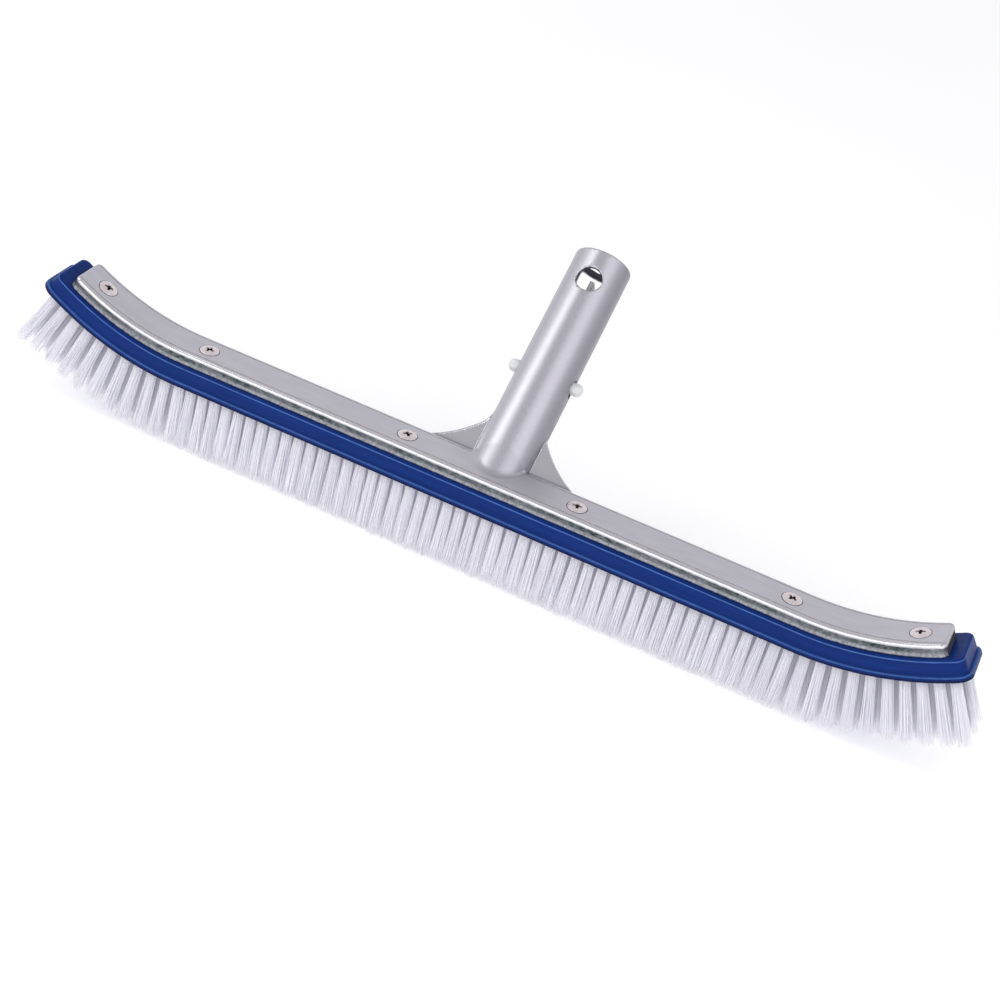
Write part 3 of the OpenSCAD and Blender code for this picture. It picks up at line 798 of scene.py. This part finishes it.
def make_bristle_row(row, material, random):
    """One row of tufts: each tuft is a bundle of filaments that spreads towards its ragged tip."""
    first, last = row == 0, row == ROWS - 1
    shift = 0.0 if row % 2 == 0 else 0.5
    steps = np.arange(-TUFTS_EACH_SIDE, TUFTS_EACH_SIDE - 2 * shift + 1) + shift
    row_y = (row - (ROWS - 1) / 2) * ROW_GAP
    tufts = len(steps)
    total = tufts * FILAMENTS
    tuft = np.repeat(np.arange(tufts), FILAMENTS)
    k = np.tile(np.arange(FILAMENTS), tufts)
    angle = k * GOLDEN_ANGLE + random.uniform(0, 6.28, tufts)[tuft]
    share = np.sqrt((k + 0.5) / FILAMENTS) * random.uniform(0.93, 1.05, total)
    root = np.stack([np.cos(angle), np.sin(angle)], -1) * share[:, None] * TUFT_ROOT_R

    # how far each tip ends up from its root; the outer tufts lean in, the front and rear rows out
    lean = (random.normal(0, 1, (tufts, 2)) * np.array([0.3, 0.3]))[tuft]
    stray = random.normal(0, 1, (total, 2)) * 0.3
    wild = random.random(total) < 0.03
    stray[wild] *= 4.0
    spread = root * np.array([0.44, 0.36]) + stray + lean
    outward = np.sign(steps) * (np.abs(steps) > TUFTS_EACH_SIDE - 1)
    spread[:, 0] -= 1.1 * outward[tuft]
    low, high = -4.3 if first else -3.1, 4.3 if last else 3.1
    forward = -0.7 if first else 0.7 if last else 0.0
    spread[:, 1] = np.clip(root[:, 1] + spread[:, 1] + forward, low, high) - root[:, 1]
    length = BRISTLE_LEN - np.abs(random.normal(0, 0.8, total)) - random.uniform(0, 0.5, tufts)[tuft]
    length[wild] -= 0.8
    bow = random.normal(0, 0.1, (total, 2))
    thick = FILAMENT_R * random.uniform(0.85, 1.1, total)

    foot = -BACK_H - BLOCK_H
    points = np.empty((total, LEVELS, SIDES, 3))
    corner = np.radians(45 + 90 * np.arange(SIDES))
    for level in range(LEVELS):
        t = level / (LEVELS - 1)
        way = root + spread * t ** 1.25 + bow * math.sin(math.pi * t)
        r = thick * (1.0 if level < LEVELS - 1 else 0.55)
        points[:, level, :, 0] = way[:, :1] + r[:, None] * np.cos(corner)
        points[:, level, :, 1] = row_y + way[:, 1:] + r[:, None] * np.sin(corner)
        points[:, level, :, 2] = (foot + 0.6 - (length + 0.6) * t)[:, None]
    at = np.zeros((total, LEVELS, SIDES, 3))
    at[..., 0] = (steps * TUFT_PITCH)[tuft][:, None, None]
    flat_at, flat = at.reshape(-1, 3), points.reshape(-1, 3)
    placed = bend(flat_at) + bend_direction(flat_at, flat)
    placed[:, 2] = np.maximum(placed[:, 2], 0.0)
    placed[:, 0] = np.clip(placed[:, 0], -LIMIT_X, LIMIT_X)

    shade = np.repeat(random.random(total), LEVELS * SIDES)
    depth = np.tile(np.repeat(np.linspace(0, 1, LEVELS), SIDES), total)
    inside = np.full(len(depth), 0.0 if first or last else 1.0)
    return add_mesh(f"bristle_row_{row + 1}_filaments", placed, filament_faces(total), material,
                    shade=shade, depth=depth, inside=inside)


# ---------- build ----------

nylon, aluminium, blue = bristle_nylon(), cast_aluminium(), blue_plastic()
place(make_casting(aluminium), ROOT, "cast_aluminium", "back_casting")
place(make_block(blue), ROOT, "blue_plastic", "brush_block")
make_screws(screw_steel())
make_clip(clip_nylon())
random = np.random.default_rng(11)
for row in range(ROWS):
    place(make_bristle_row(row, nylon, random), ROOT, "bristle_nylon", f"bristle_row_{row + 1}")
brass = staple_brass()
for name, node in frame["nodes"].items():
    if name.startswith("staple_row"):
        node.data.materials.clear()
        node.data.materials.append(brass)


# ---------- studio ----------

def area_light(name, place_at, target, size, power, colour=(1, 1, 1)):
    """A rectangular light that faces target."""
    data = bpy.data.lights.new(name, "AREA")
    data.shape, data.size, data.size_y = "RECTANGLE", size[0], size[1]
    data.energy, data.color = power, colour
    lamp = bpy.data.objects.new(name, data)
    lamp.location = place_at
    lamp.rotation_euler = (Vector(target) - Vector(place_at)).to_track_quat("-Z", "Y").to_euler()
    bpy.context.scene.collection.objects.link(lamp)


def make_floor():
    half = 6.0
    mesh = bpy.data.meshes.new("floor")
    corners = [(-half, -half, 0), (half, -half, 0), (half, half, 0), (-half, half, 0)]
    mesh.from_pydata(corners, [], [(0, 1, 2, 3)])
    mesh.materials.append(studio_floor())
    floor = bpy.data.objects.new("floor", mesh)
    bpy.context.scene.collection.objects.link(floor)
    floor.location.z = -0.0002


def make_world():
    """Soft surroundings, a little brighter low down than overhead."""
    world = bpy.data.worlds.new("studio")
    world.use_nodes = True
    nodes, links = world.node_tree.nodes, world.node_tree.links
    background = nodes["Background"]
    direction = nodes.new("ShaderNodeTexCoord").outputs["Generated"]
    split = nodes.new("ShaderNodeSeparateXYZ")
    links.new(direction, split.inputs[0])
    level = nodes.new("ShaderNodeMapRange")
    links.new(split.outputs["Z"], level.inputs["Value"])
    levels = (0.3, 1.0, WORLD_LOW, WORLD_HIGH)
    for key, number in zip(("From Min", "From Max", "To Min", "To Max"), levels):
        level.inputs[key].default_value = number
    links.new(level.outputs["Result"], background.inputs["Strength"])
    background.inputs["Color"].default_value = (0.97, 0.97, 1.0, 1)
    bpy.context.scene.world = world


def make_camera():
    """The photo's own view, from its perspective fit."""
    forward, up = Vector((-0.2052, 0.8155, -0.5412)), Vector((-0.3859, 0.4408, 0.8105))
    right = forward.cross(up).normalized()
    up = right.cross(forward).normalized()
    data = bpy.data.cameras.new("camera")
    data.lens, data.sensor_width = 73.67, 36.0
    data.clip_start, data.clip_end = 0.01, 20.0
    camera = bpy.data.objects.new("camera", data)
    turn = Matrix((right, up, -forward)).transposed().to_4x4()
    camera.matrix_world = Matrix.Translation((0.1995, -0.763, 0.544)) @ turn
    bpy.context.scene.collection.objects.link(camera)
    bpy.context.scene.camera = camera


make_floor()
make_world()
make_camera()
area_light("left", (-0.92, -0.15, 0.87), (0, 0.03, 0.08), (0.26, 1.0), 2.2)
area_light("right", (0.8, -0.3, 1.08), (0, 0.03, 0.08), (1.0, 1.0), 1.9, (0.96, 0.94, 1.0))
area_light("front", (0.15, -1.7, 0.75), (0, 0, 0.03), (2.6, 0.9), 11)
bpy.context.scene.view_settings.view_transform = "Standard"
